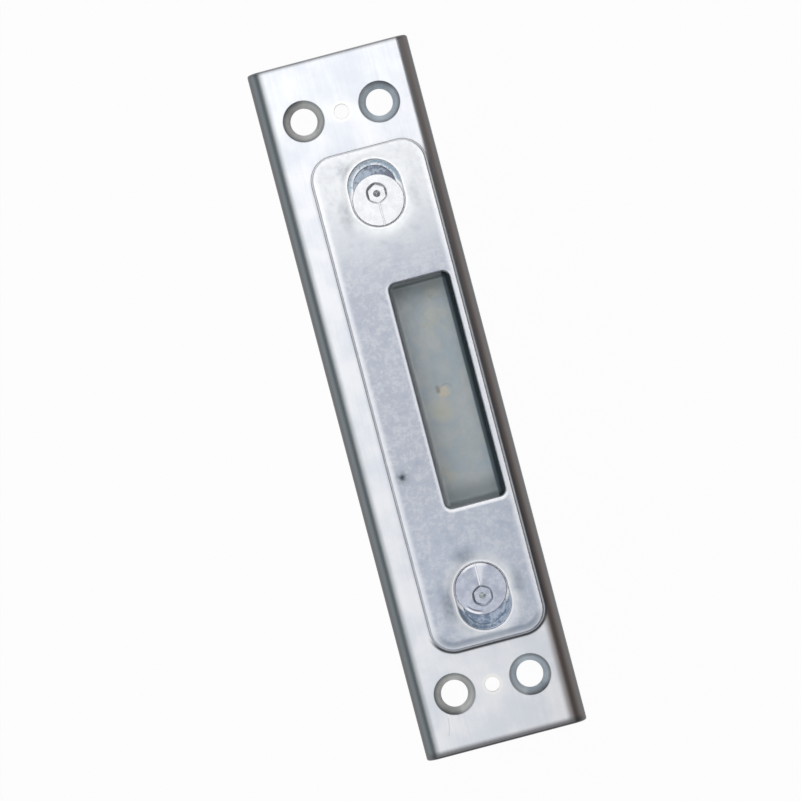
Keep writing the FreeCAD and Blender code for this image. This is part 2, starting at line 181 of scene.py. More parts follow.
def fromSlots(x, y, pivot, straight, radius):
    # Distance outside the nearer of the two cam slots
    along = (abs(abs(y) - pivot[1]) - straight).atLeast(0.0)
    across = x - pivot[0]
    return (across * across + along * along).root() - radius


# Colours for the cam slots: the film's own blue, partly painted shade of the recesses
ledgeFilmAndShade = {
    "upper": (0.33, 0.42, 0.51, 1.0),
    "lower": (0.17, 0.23, 0.32, 1.0),
    "paleUpper": (0.58, 0.66, 0.74, 1.0),
    "paleLower": (0.38, 0.45, 0.56, 1.0),
}

deepFilmAndShade = {
    "upper": (0.17, 0.19, 0.24, 1.0),
    "lower": (0.20, 0.26, 0.36, 1.0),
    "paleUpper": (0.36, 0.42, 0.50, 1.0),
    "paleLower": (0.43, 0.50, 0.61, 1.0),
}

filmShadeDrift = {"upper": 0.030, "lower": -0.015}
filmMottle = (0.42, 0.60)


def slotFilmAndShade(filmAndShade, x, y, specks):
    # Mottled blue film in the cam slots, partly painted shade of their recesses, paler to the left in the upper
    # one and to the right in the lower
    isUpper = y > 0.0
    dark = isUpper.blend(filmAndShade["lower"], filmAndShade["upper"])
    pale = isUpper.blend(filmAndShade["paleLower"], filmAndShade["paleUpper"])
    slope = isUpper * (filmShadeDrift["upper"] - filmShadeDrift["lower"]) + filmShadeDrift["lower"]
    drift = (upperPivot.x - x) * slope
    return (specks + drift).fade(*filmMottle).blend(dark, pale)


def addMesh(name, mesh):
    piece = bpy.data.objects.new(name, mesh)
    bpy.context.scene.collection.objects.link(piece)
    return piece


# Channel: a sheet swept round its two folds, with its holes cut in patterns

channel = {
    "sheet": 2.0,
    "bendInside": 0.6,
    "bendSteps": 28,
    "endRound": 0.45,
    "endSteps": 8,
    "sinkRadius": 4.2,
    "sinkRise": 0.5,
    "pilotSink": 1.56,
    "pivotRadius": 2.55,
    "windowWidth": 13.75,
    "windowLength": 47.6,
    "windowCorner": 2.0,
    "windowSteps": 16,
    "holeSides": 72,
    "mergeReach": 0.002,
    "sharpAngle": 35.0,
}

sheetFinish = {
    "colour": (0.81, 0.825, 0.86, 1.0),
    "cloudColour": (0.73, 0.76, 0.82, 1.0),
    "cloudRange": (0.40, 0.62),
    # Painted shade for the folds and for the sheet's ends
    "leftFoldShade": (0.245, 0.28, 0.30, 1.0),
    "rightFoldShade": (0.285, 0.255, 0.25, 1.0),
    "outerFoldShade": (0.15, 0.152, 0.158, 1.0),
    "foldRange": (13.2, 14.9),
    "foldDrift": 0.0105,
    "outerRange": (15.2, 16.4),
    "bentRange": (8.0, 10.6),
    "endShadeAndScratch": (0.16, 0.16, 0.17, 1.0),
    "lowerEndShade": {"range": (-69.2, -70.4), "strength": 0.95},
    "upperEndShade": {"range": (70.0, 70.8), "strength": 0.72},
    "endFace": 70.985,
    "roughness": 0.30,
    "sinkLeft": (0.67, 0.675, 0.66, 1.0),
    "sinkRight": (0.65, 0.71, 0.76, 1.0),
    "sinkEdge": (0.19, 0.20, 0.215, 1.0),
    "sinkTurn": (-3.0, 3.0),
    "sinkBlur": 0.12,
    "sinkRim": 0.9,
    "sinkShade": (-2.0, 3.0),
    "sinkPitch": 0.3,
    "pilotRing": (0.88, 0.88, 0.88, 1.0),
    "pilotRange": (2.3, 1.9),
    "filmShadeRange": (1.6, 0.6),
    # Painted shadow of the keeper on the sheet
    "keeperShadowColour": (0.08, 0.085, 0.095, 1.0),
    "keeperShadowWidth": 0.85,
    "keeperShadowFoot": (-46.8, -50.0),
    "keeperShadowSide": (12.6, 13.8),
    "keeperShadowTop": (49.0, 44.0),
    "keeperShadowStrength": 0.92,
    "scratch": {"x": -10.3, "top": -63.4, "bottom": -66.9, "bend": 0.06, "width": 0.16, "strength": 0.22},
    "grainDepth": 0.003,
}


def platedSheet():
    look = sheetFinish
    material, shader, place = newMetal("satin_zinc_sheet")
    x, y, z = place.split()
    streaks = cloud(place, 0.35, stretch=40.0)
    clouds = cloud(place, 7.0, detail=4.0)
    specks = cloud(place, 1.1, detail=4.0, roughness=0.65)
    grain = cloud(place, 0.25)
    tone = (clouds * 0.7 + streaks * 0.15 + specks * 0.15).fade(*look["cloudRange"])
    colour = tone.blend(look["colour"], look["cloudColour"])

    # The folds are rougher where they stretched the plating, and painted shade darkens the folds and the ends
    bent = z.fade(*look["bentRange"])
    onLeft = (x * -1.0).fade(*look["foldRange"]) * bent
    onRight = (x - y * look["foldDrift"]).fade(*look["foldRange"]) * bent
    colour = onLeft.blend(colour, look["leftFoldShade"])
    colour = onRight.blend(colour, look["rightFoldShade"])
    colour = (abs(x).fade(*look["outerRange"]) * bent).blend(colour, look["outerFoldShade"])
    lower, upper = look["lowerEndShade"], look["upperEndShade"]
    endShadeMask = y.fade(*lower["range"]) * lower["strength"] + y.fade(*upper["range"]) * upper["strength"]
    endShadeMask = endShadeMask * bent * (abs(y) < look["endFace"])
    colour = endShadeMask.blend(colour, look["endShadeAndScratch"])

    # Turned lines in the countersinks, darker towards their rims, with painted shade on the outer side of each
    screws = mounts["fixing_screws"]
    screwX, screwY = screws["spacing_x_mm"] / 2, screws["spacing_y_mm"] / 2
    away = fromPoint(abs(x), abs(y), (screwX, screwY))
    radius = channel["sinkRadius"]
    inSink = away.fade(radius + look["sinkBlur"], radius - look["sinkBlur"])
    turned = (away * (math.tau / look["sinkPitch"])).sum("SINE") * 0.5 + 0.5
    cone = x.fade(*look["sinkTurn"]).blend(look["sinkLeft"], look["sinkRight"])
    outside = abs(x).fade(*[screwX + shift for shift in look["sinkShade"]])
    wearAndPaintedLight = away.fade(radius - look["sinkRim"], radius) * 0.65
    wearAndPaintedLight = wearAndPaintedLight + turned * 0.2 + outside * 0.3 + specks * 0.3 - 0.2
    cone = wearAndPaintedLight.atLeast(0.0).atMost(1.0).blend(cone, look["sinkEdge"])
    colour = inSink.blend(colour, cone)
    pilot = fromPoint(x, abs(y), (0.0, screwY))
    colour = pilot.fade(*look["pilotRange"]).blend(colour, look["pilotRing"])

    # A dark film under the cam slots, partly painted shade, and a painted shadow line along the keeper's lower end
    # and right side
    toStep = fromSlots(x, y, upperPivot, keeper["slotStraight"], keeper["stepWidth"] / 2)
    colour = toStep.fade(*look["filmShadeRange"]).blend(colour, slotFilmAndShade(deepFilmAndShade, x, y, specks))
    low, high = cornersOf("keeper_plate")
    half = ((high.x - low.x) / 2, (high.y - low.y) / 2)
    toKeeper = fromRectangle(x, y, ((high.x + low.x) / 2, 0.0), half, keeper["corner"])
    keeperShadow = abs(toKeeper - look["keeperShadowWidth"] * 0.35).fade(look["keeperShadowWidth"] * 0.6, 0.1)
    alongSide = x.fade(*look["keeperShadowSide"]) * y.fade(*look["keeperShadowTop"]) * 0.75
    keeperShadow = keeperShadow * y.fade(*look["keeperShadowFoot"]).atLeast(alongSide)
    colour = (keeperShadow * look["keeperShadowStrength"]).blend(colour, look["keeperShadowColour"])

    # One hair scratch near the lower end
    mark = look["scratch"]
    fall = y - mark["top"]
    line = abs(x + fall * fall * mark["bend"] - mark["x"]).fade(mark["width"], mark["width"] * 0.3)
    line = line * (y > mark["bottom"]) * (y < mark["top"])
    colour = (line * mark["strength"]).blend(colour, look["endShadeAndScratch"])

    connect(shader, "Base Color", colour)
    rough = streaks * 0.08 + clouds * 0.06 + (onLeft + onRight) * 0.1 + keeperShadow * 0.2
    connect(shader, "Roughness", rough + (look["roughness"] - 0.07))
    relief(shader, grain * 0.6 + streaks * 0.4 + inSink * turned * 1.5, look["grainDepth"])
    return material


def addInputs(tree, names):
    tree.interface.new_socket("Geometry", in_out="OUTPUT", socket_type="NodeSocketGeometry")
    sockets = {}
    for name in names:
        kind = "NodeSocketMaterial" if name == "Finish" else "NodeSocketFloat"
        sockets[name] = tree.interface.new_socket(name, in_out="INPUT", socket_type=kind)
    entry = tree.nodes.new("NodeGroupInput")
    return sockets, {name: Wire(tree, entry.outputs[name]) for name in names}


def filletCurve(curve, radius, steps):
    values = {"Curve": curve, "Radius": radius, "Count": steps}
    return curve.make("GeometryNodeFilletCurve", {"mode": "POLY"}, values)


def vector(wire, x=0.0, y=0.0, z=0.0):
    return wire.make("ShaderNodeCombineXYZ", values={0: x, 1: y, 2: z})


def move(wire, geometry, **values):
    return wire.make("GeometryNodeTransform", values={"Geometry": geometry, **values})


def foldedSheet(wire, size):
    # The line of the section's outside, drawn flat with its height along Y
    corner = wire.make("GeometryNodeInputIndex")
    across = ((corner > 1.5) - 0.5) * size["Width"]
    up = (abs(corner - 1.5) < 1.0) * size["Height"]
    line = wire.make("GeometryNodeMeshLine", values={"Count": 4})
    values = {"Geometry": line, "Position": vector(wire, across, up)}
    line = wire.make("GeometryNodeSetPosition", values=values)
    line = wire.make("GeometryNodeMeshToCurve", values={"Mesh": line})
    line = filletCurve(line, size["Outer Bend"], channel["bendSteps"])
    line = wire.make("GeometryNodeSetCurveNormal", {"mode": "Z_UP"}, {"Curve": line})
    # The sheet cut along the channel, its outside corners rounded where it was sheared
    values = {"Width": size["Sheet"], "Height": size["Length"]}
    strip = wire.make("GeometryNodeCurvePrimitiveQuadrilateral", values=values)
    outside = wire.make("GeometryNodeInputPosition").split()[0] < 0.0
    strip = filletCurve(strip, outside * size["End Round"], channel["endSteps"])
    strip = move(wire, strip, Translation=vector(wire, size["Sheet"] * 0.5))
    values = {"Curve": line, "Profile Curve": strip, "Fill Caps": True}
    sheet = wire.make("GeometryNodeCurveToMesh", values=values)
    return move(wire, sheet, Rotation=(math.pi / 2, 0.0, 0.0))


def holePattern(wire, bit, x, z, pitch, span):
    # A cutter at the corners of a grid, or in a row where the pitch is 0
    values = {"Size X": pitch, "Size Y": span, "Vertices X": 2, "Vertices Y": 2}
    points = wire.make("GeometryNodeMeshGrid", values=values)
    points = wire.make("GeometryNodeMergeByDistance", values={"Geometry": points})
    points = move(wire, points, Translation=vector(wire, x, 0.0, z))
    made = wire.make("GeometryNodeInstanceOnPoints", values={"Points": points, "Instance": bit})
    return wire.make("GeometryNodeRealizeInstances", values={"Geometry": made})


def channelTree(names):
    tree = bpy.data.node_groups.new("foldedChannel", "GeometryNodeTree")
    sockets, size = addInputs(tree, names)
    wire = Wire(tree)
    sheet = foldedSheet(wire, size)
    middle = size["Height"] - size["Sheet"] * 0.5
    depth = size["Sheet"] * 2.0
    rise = channel["sinkRise"] * mm
    sides = channel["holeSides"]

    def drill(radius):
        values = {"Vertices": sides, "Radius": radius, "Depth": depth}
        return wire.make("GeometryNodeMeshCylinder", values=values)

    def sink(radius):
        top = radius + rise
        values = {"Radius Top": top, "Radius Bottom": 0.0, "Depth": top, "Vertices": sides}
        cone = wire.make("GeometryNodeMeshCone", values=values)
        return move(wire, cone, Translation=vector(wire, 0.0, 0.0, rise - top))

    pitch, span = size["Screw Pitch"], size["Screw Span"]
    values = {"Width": size["Window Width"], "Height": size["Window Length"]}
    window = wire.make("GeometryNodeCurvePrimitiveQuadrilateral", values=values)
    window = filletCurve(window, size["Window Corner"], channel["windowSteps"])
    stroke = wire.make("GeometryNodeCurvePrimitiveLine", values={"End": vector(wire, z=depth)})
    values = {"Curve": stroke, "Profile Curve": window, "Fill Caps": True}
    window = wire.make("GeometryNodeCurveToMesh", values=values)
    cutters = [
        holePattern(wire, drill(size["Hole Radius"]), 0.0, middle, pitch, span),
        holePattern(wire, sink(size["Sink Radius"]), 0.0, size["Height"], pitch, span),
        holePattern(wire, drill(size["Pilot Radius"]), 0.0, middle, 0.0, span),
        holePattern(wire, sink(size["Pilot Sink"]), 0.0, size["Height"], 0.0, span),
        holePattern(wire, drill(size["Pivot Radius"]), size["Pivot X"], middle, 0.0, size["Pivot Span"]),
        move(wire, window, Translation=vector(wire, size["Window X"], 0.0, middle - depth * 0.5)),
    ]
    values = {"Mesh 1": sheet, "Mesh 2": cutters, "Self Intersection": True}
    made = wire.make("GeometryNodeMeshBoolean", {"operation": "DIFFERENCE", "solver": "EXACT"}, values)
    # Where a sink meets its hole the cut leaves points almost in one place
    values = {"Geometry": made, "Distance": channel["mergeReach"] * mm}
    made = wire.make("GeometryNodeMergeByDistance", values=values)
    values = {"Geometry": made, "Shade Smooth": True}
    made = wire.make("GeometryNodeSetShadeSmooth", {"domain": "FACE"}, values)
    corner = wire.make("GeometryNodeInputMeshEdgeAngle") > math.radians(channel["sharpAngle"])
    values = {"Geometry": made, "Selection": corner, "Shade Smooth": False}
    made = wire.make("GeometryNodeSetShadeSmooth", {"domain": "EDGE"}, values)
    made = wire.make("GeometryNodeRealizeInstances", values={"Geometry": made})
    made = wire.make("GeometryNodeSetMaterial", values={"Geometry": made, "Material": size["Finish"]})
    tree.links.new(made.socket, tree.nodes.new("NodeGroupOutput").inputs["Geometry"])
    return tree, sockets


def plainMesh(piece):
    # The piece's modifiers become a plain mesh of its own
    graph = bpy.context.evaluated_depsgraph_get()
    mesh = bpy.data.meshes.new_from_object(piece.evaluated_get(graph), depsgraph=graph)
    piece.modifiers.clear()
    piece.data = mesh
    mesh.name = piece.name


def buildChannel(material):
    size = channel
    low, high = cornersOf("base_channel")
    boxLow, boxHigh = cornersOf("bolt_box")
    screws = mounts["fixing_screws"]
    lengths = {
        "Width": high.x - low.x,
        "Height": high.z - low.z,
        "Length": high.y - low.y,
        "Sheet": size["sheet"],
        "Outer Bend": size["sheet"] + size["bendInside"],
        "End Round": size["endRound"],
        "Screw Pitch": screws["spacing_x_mm"],
        "Screw Span": screws["spacing_y_mm"],
        "Hole Radius": screws["hole_r_mm"],
        "Sink Radius": size["sinkRadius"],
        "Pilot Radius": mounts["pilot_holes"]["hole_r_mm"],
        "Pilot Sink": size["pilotSink"],
        "Pivot X": upperPivot.x,
        "Pivot Span": upperPivot.y - lowerPivot.y,
        "Pivot Radius": size["pivotRadius"],
        "Window X": (boxLow.x + boxHigh.x) / 2,
        "Window Width": size["windowWidth"],
        "Window Length": size["windowLength"],
        "Window Corner": size["windowCorner"],
    }
    tree, sockets = channelTree([*lengths, "Finish"])
    piece = addMesh("folded_channel", bpy.data.meshes.new("carrier"))
    fold = piece.modifiers.new("fold", "NODES")
    fold.node_group = tree
    for name, length in lengths.items():
        fold[sockets[name].identifier] = length * mm
    fold[sockets["Finish"].identifier] = material
    even = piece.modifiers.new("evenShading", "WEIGHTED_NORMAL")
    even.keep_sharp = True
    plainMesh(piece)
    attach(piece, "base")
    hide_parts("base_channel")
    print("channel folded and drilled:", len(piece.data.polygons), "faces")


# Mesh helpers for the keeper and the cams

def roundedLoop(centre, halfWidth, halfLength, radius, steps):
    # Points round a rounded rectangle, counter-clockwise from above
    points = []
    for quarter, (signX, signY) in enumerate(((1, 1), (-1, 1), (-1, -1), (1, -1))):
        for step in range(steps + 1):
            angle = math.radians(90 * (quarter + step / steps))
            across = signX * (halfWidth - radius) + radius * math.cos(angle)
            along = signY * (halfLength - radius) + radius * math.sin(angle)
            points.append((centre[0] + across, centre[1] + along))
    return points


def edgeRound(radius, steps, hem):
    # (offset, drop) pairs of a rounded edge, from just inside the flat down to the wall
    pairs = [(radius + hem, 0.0)]
    for step in range(steps + 1):
        angle = math.radians(90 * step / steps)
        pairs.append((radius * (1 - math.sin(angle)), radius * (1 - math.cos(angle))))
    return pairs


def addRing(form, points, height):
    return [form.verts.new((x, y, height)) for x, y in points]


def bridge(form, rings):
    # Quads between each ring and the next one
    for upper, lower in zip(rings, rings[1:]):
        for index in range(len(upper)):
            after = (index + 1) % len(upper)
            form.faces.new((upper[index], lower[index], lower[after], upper[after]))


def fillBetween(form, rings):
    # A flat face inside the first ring, with the others as its holes
    edges = []
    for ring in rings:
        for index, corner in enumerate(ring):
            pair = (corner, ring[(index + 1) % len(ring)])
            edges.append(form.edges.get(pair) or form.edges.new(pair))
    bmesh.ops.triangle_fill(form, use_beauty=True, edges=edges)


weldReach = 1e-5


def finishForm(form, name, material, sharpAngle):
    # Merges, scales to metres, turns the faces outwards and marks the sharp edges
    bmesh.ops.remove_doubles(form, verts=form.verts, dist=weldReach)
    bmesh.ops.scale(form, vec=(mm, mm, mm), verts=form.verts)
    bmesh.ops.recalc_face_normals(form, faces=form.faces)
    for face in form.faces:
        face.smooth = True
    for edge in form.edges:
        edge.smooth = edge.calc_face_angle(0.0) < math.radians(sharpAngle)
    mesh = bpy.data.meshes.new(name)
    form.to_mesh(mesh)
    form.free()
    mesh.materials.append(material)
    return addMesh(name, mesh)


# Keeper plate: rounded edges, and a shallow worn dish round each cam slot

keeper = {
    "corner": 5.0,
    "edgeRound": 0.6,
    "footRound": 0.15,
    "openingWidth": 12.55,
    "openingLength": 46.4,
    "openingCorner": 1.5,
    "openingRound": 0.22,
    "bar": 1.6,
    "slotWidth": 10.76,
    "slotStraight": 1.45,
    "slotRound": 0.12,
    "stepWidth": 8.76,
    "ledge": 1.0,
    "dishReach": 1.7,
    "dishDepth": 0.05,
    "dishSteps": 12,
    "cornerSteps": 20,
    "roundSteps": 10,
    "hem": 0.03,
    "hair": 1e-4,
    "sharpAngle": 40.0,
}

keeperFinish = {
    # Painted light makes the keeper bright at its upper end
    "litTopColour": (0.84, 0.86, 0.89, 1.0),
    "topRange": (20.0, 45.0),
    "midColour": (0.50, 0.535, 0.615, 1.0),
    "lowColour": (0.53, 0.58, 0.68, 1.0),
    "lowRange": (-10.0, -34.0),
    "paleColour": (0.76, 0.78, 0.83, 1.0),
    "paleRange": (0.45, 0.58),
    "blueColour": (0.38, 0.43, 0.54, 1.0),
    "blueRange": (0.50, 0.66),
    "blueTop": (44.0, 20.0),
    # The halo is part wear and part painted highlight, stronger towards the upper end
    "haloWearAndHighlight": (0.88, 0.90, 0.92, 1.0),
    "haloRange": (3.2, 0.6),
    "haloRise": (-10.0, 30.0),
    "blotchAndShadeColour": (0.13, 0.18, 0.25, 1.0),
    "blotchMottle": (0.36, 0.62),
    "blotchEdge": (0.4, 1.1),
    "edgeShadeColour": (0.17, 0.18, 0.20, 1.0),
    "edgeShadeReach": -0.5,
    "edgeShadeDepths": (0.08, 0.35),
    "footShadeInside": (-2.4, -1.5),
    "footShadeOutside": (-0.5, -1.1),
    "footShadeEnd": (-46.0, -49.0),
    "rubbedAndLitColour": (0.93, 0.94, 0.97, 1.0),
    "edgeRange": (-1.9, -0.7),
    "edgeEnds": (44.0, 49.0),
    "openingRange": (0.95, 0.45),
    "openingTop": (23.6, 22.4),
    "openingFoot": (-22.4, -23.2),
    "slotRange": (0.55, 0.3),
    "wallRange": (0.3, 0.1),
    "faceDepth": 0.5,
    "rubDepth": 0.12,
    "wallDepth": 0.3,
    "bareRange": (0.35, 0.8),
    "slotInset": 0.05,
    "stepInset": 0.85,
    "stepRange": (0.35, 0.1),
    "stepMottle": (0.36, 0.54),
    "roughness": 0.36,
    "grainDepth": 0.012,
    "stainCentre": (-6.9, -14.65),
    "stainColour": (0.05, 0.08, 0.11, 1.0),
    "stainCore": (0.9, 0.0),
    "stainRange": (1.9, 0.4),
    "blotches": [
        {"centre": (-4.4, 38.4), "wide": 2.1, "tall": 4.8, "strength": 0.36},
        {"centre": (-2.2, 46.8), "wide": 2.6, "tall": 2.8, "strength": 0.42},
        {"centre": (9.5, 39.6), "wide": 2.0, "tall": 4.0, "strength": 0.22},
        {"centre": (-4.5, -41.6), "wide": 2.0, "tall": 6.0, "strength": 0.62},
        {"centre": (10.0, -40.2), "wide": 1.9, "tall": 4.4, "strength": 0.48},
        {"centre": (0.9, -32.8), "wide": 3.6, "tall": 2.4, "strength": 0.55},
    ],
}


def castKeeper():
    look = keeperFinish
    low, high = cornersOf("keeper_plate")
    material, shader, place = newMetal("mottled_zinc_keeper")
    x, y, z = place.split()
    broad = cloud(place, 3.0, detail=5.0, roughness=0.65)
    patches = cloud(place, 1.7, detail=3.0, offset=7.0)
    specks = cloud(place, 0.8, detail=4.0, roughness=0.65)
    grain = cloud(place, 0.22)
    onFace = z > high.z - look["faceDepth"]

    # Painted light makes it brighter at the upper end, with paler patches all over and bluer ones below that end
    colour = y.fade(*look["topRange"]).blend(look["midColour"], look["litTopColour"])
    colour = y.fade(*look["lowRange"]).blend(colour, look["lowColour"])
    pale = (broad * 0.4 + specks * 0.6).fade(*look["paleRange"])
    colour = (pale * 0.5).blend(colour, look["paleColour"])
    blue = (patches * 0.7 + specks * 0.3).fade(*look["blueRange"]) * y.fade(*look["blueTop"])
    colour = (blue * 0.45).blend(colour, look["blueColour"])

    # Round the slots a pale halo, part wear and part painted highlight, and dark blue blotches; painted shade and
    # highlight at the edges
    half = ((high.x - low.x) / 2, (high.y - low.y) / 2)
    middle = ((high.x + low.x) / 2, (high.y + low.y) / 2)
    toEdge = fromRectangle(x, y, middle, half, keeper["corner"])
    openingHalf = (keeper["openingWidth"] / 2, keeper["openingLength"] / 2)
    opening = (high.x - keeper["bar"] - openingHalf[0], middle[1])
    toOpening = fromRectangle(x, y, opening, openingHalf, keeper["openingCorner"])
    toSlot = fromSlots(x, y, upperPivot, keeper["slotStraight"], keeper["slotWidth"] / 2)
    halo = toSlot.fade(*look["haloRange"]) * (0.5 + y.fade(*look["haloRise"]) * 0.35) * (0.45 + broad)
    colour = (halo * onFace).blend(colour, look["haloWearAndHighlight"])
    # Dark blue blotches near the slots, mottled and kept off the slots themselves
    for blotch in look["blotches"]:
        wide, tall = blotch["wide"], blotch["tall"]
        centre = (blotch["centre"][0] / wide, blotch["centre"][1] / tall)
        patch = fromPoint(x / wide, y / tall, centre).fade(1.0, 0.1)
        patch = patch * (0.65 + specks.fade(*look["blotchMottle"]) * 0.35) * toSlot.fade(*look["blotchEdge"])
        colour = (patch * blotch["strength"]).blend(colour, look["blotchAndShadeColour"])
    # Painted shade on the edge rounds and walls round the outline
    edgeShade = (toEdge > look["edgeShadeReach"]) * z.fade(*[high.z - depth for depth in look["edgeShadeDepths"]])
    colour = (edgeShade * 0.9).blend(colour, look["edgeShadeColour"])
    # Painted shade on the face near the lower end
    footShade = toEdge.fade(*look["footShadeInside"]) * toEdge.fade(*look["footShadeOutside"])
    footShade = footShade * y.fade(*look["footShadeEnd"])
    colour = (footShade * 0.6).blend(colour, look["blotchAndShadeColour"])
    # Bright edges round the outline, the opening and the slots: part rubbed wear, part painted highlight
    wearAndPaintedLight = toEdge.fade(*look["edgeRange"]) * (0.7 - abs(y).fade(*look["edgeEnds"]) * 0.4)
    rim = toOpening.fade(*look["openingRange"]) * y.fade(*look["openingTop"])
    rim = rim * (0.55 + y.fade(*look["openingFoot"]) * 0.45)
    rubbedAndLit = rim.atLeast(wearAndPaintedLight) * (z > high.z - look["rubDepth"])
    rubbedAndLit = rubbedAndLit.atLeast(toSlot.fade(*look["slotRange"]) * onFace * 0.6)
    colour = (rubbedAndLit * 0.85).blend(colour, look["rubbedAndLitColour"])

    # Walls painted bright as painted highlight, and film with painted shade on the ledges that the cams leave
    # bare, with a painted highlight line at their step
    fromDisc = fromPoint(x, abs(y), (upperPivot.x, upperPivot.y - cam["throw"])) - cam["diameter"] / 2
    walls = toOpening.fade(*look["wallRange"]).atLeast(toSlot.fade(*look["wallRange"]))
    walls = (z < high.z - look["wallDepth"]) * walls
    colour = (walls * 0.8).blend(colour, look["rubbedAndLitColour"])
    bare = fromDisc.fade(*look["bareRange"]) * (toSlot < -look["slotInset"])
    bare = bare * (z < high.z - look["faceDepth"])
    filmAndShade = slotFilmAndShade(ledgeFilmAndShade, x, y, specks)
    step = abs(toSlot + look["stepInset"]).fade(*look["stepRange"]) * (0.15 + (y > 0.0) * 0.6)
    step = step * specks.fade(*look["stepMottle"])
    filmAndShade = step.blend(filmAndShade, look["rubbedAndLitColour"])
    colour = bare.blend(colour, filmAndShade)

    # One dark stain near the left edge
    toStain = fromPoint(x, y, look["stainCentre"]) + (specks - 0.5) * 0.8
    stain = toStain.fade(*look["stainCore"]) * 0.6 + toStain.fade(*look["stainRange"]) * 0.3
    colour = stain.blend(colour, look["stainColour"])
    connect(shader, "Base Color", colour)
    rough = specks * 0.14 - rubbedAndLit * 0.08 + stain * 0.2
    connect(shader, "Roughness", rough + (look["roughness"] - 0.07))
    relief(shader, specks * 0.7 + grain * 0.3, look["grainDepth"])
    return material


def buildKeeper(material):
    size = keeper
    low, high = cornersOf("keeper_plate")
    middle = ((low.x + high.x) / 2, (low.y + high.y) / 2)
    half = ((high.x - low.x) / 2, (high.y - low.y) / 2)
    openingX = high.x - size["bar"] - size["openingWidth"] / 2
    steps = size["cornerSteps"]
    form = bmesh.new()

    def outline(inset):
        return roundedLoop(middle, half[0] - inset, half[1] - inset, size["corner"] - inset, steps)

    def opening(outset):
        return roundedLoop((openingX, middle[1]), size["openingWidth"] / 2 + outset,
                           size["openingLength"] / 2 + outset, size["openingCorner"] + outset, steps)

    def slot(pivot, width, outset):
        # A corner a hair under half the width keeps the loop's points apart
        radius = width / 2 + outset
        return roundedLoop(pivot, radius, radius + size["slotStraight"], radius - size["hair"], steps)

    rings = [addRing(form, outline(inset), high.z - drop)
             for inset, drop in edgeRound(size["edgeRound"], size["roundSteps"], size["hem"])]
    rings.append(addRing(form, outline(0.0), low.z + size["footRound"]))
    rings.append(addRing(form, outline(size["footRound"]), low.z))
    bridge(form, rings)
    faceRings, footRings = [rings[0]], [rings[-1]]

    rings = [addRing(form, opening(outset), high.z - drop)
             for outset, drop in edgeRound(size["openingRound"], size["roundSteps"], size["hem"])]
    rings.append(addRing(form, opening(0.0), low.z))
    bridge(form, rings)
    faceRings.append(rings[0])
    footRings.append(rings[-1])

    ledge = low.z + size["ledge"]
    width = size["slotWidth"]
    for pivot in (upperPivot, lowerPivot):
        rings = [addRing(form, slot(pivot, width, size["dishReach"] + size["hem"]), high.z)]
        for step in range(size["dishSteps"]):
            share = step / size["dishSteps"]
            outset = size["dishReach"] + (size["slotRound"] + size["hem"] - size["dishReach"]) * share
            fall = size["dishDepth"] * share * share * (3 - 2 * share)
            rings.append(addRing(form, slot(pivot, width, outset), high.z - fall))
        for outset, drop in edgeRound(size["slotRound"], size["roundSteps"], size["hem"]):
            rings.append(addRing(form, slot(pivot, width, outset), high.z - size["dishDepth"] - drop))
        rings.append(addRing(form, slot(pivot, width, 0.0), ledge))
        rings.append(addRing(form, slot(pivot, size["stepWidth"], 0.0), ledge))
        rings.append(addRing(form, slot(pivot, size["stepWidth"], 0.0), low.z))
        bridge(form, rings)
        faceRings.append(rings[0])
        footRings.append(rings[-1])

    fillBetween(form, faceRings)
    fillBetween(form, footRings)
    piece = finishForm(form, "keeper_face", material, size["sharpAngle"])
    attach(piece, "keeper")
    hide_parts("keeper_plate")
    print("keeper plate made:", len(piece.data.polygons), "faces")


# Cams: an eccentric disc with a punched hex socket, on a peened shank

cam = {
    "diameter": 10.3,
    "throw": 1.45,
    "edgeRound": 0.12,
    "discThickness": 2.05,
    "shank": 5.0,
    "tail": 7.5,
    "tailThickness": 1.0,
    "tailRound": 0.7,
    "socketMouth": 2.02,
    "mouthFlare": 0.12,
    "mouthDepth": 0.08,
    "flareRoundness": 0.75,
    "mouthRoundness": 0.65,
    "socketFloor": 1.62,
    "floorRoundness": 0.3,
    "draftDepth": 1.0,
    "draftOver": 0.05,
    "socketDepth": 1.6,
    "dimpleRim": 0.72,
    "dimpleFloor": 0.08,
    "dimpleDepth": 0.4,
    "indexWidth": 0.4,
    "indexFloor": 0.24,
    "indexDepth": 0.12,
    "indexStart": 1.616,
    "sides": 96,
    "roundSteps": 8,
    "hem": 0.03,
    "sharpAngle": 32.0,
}

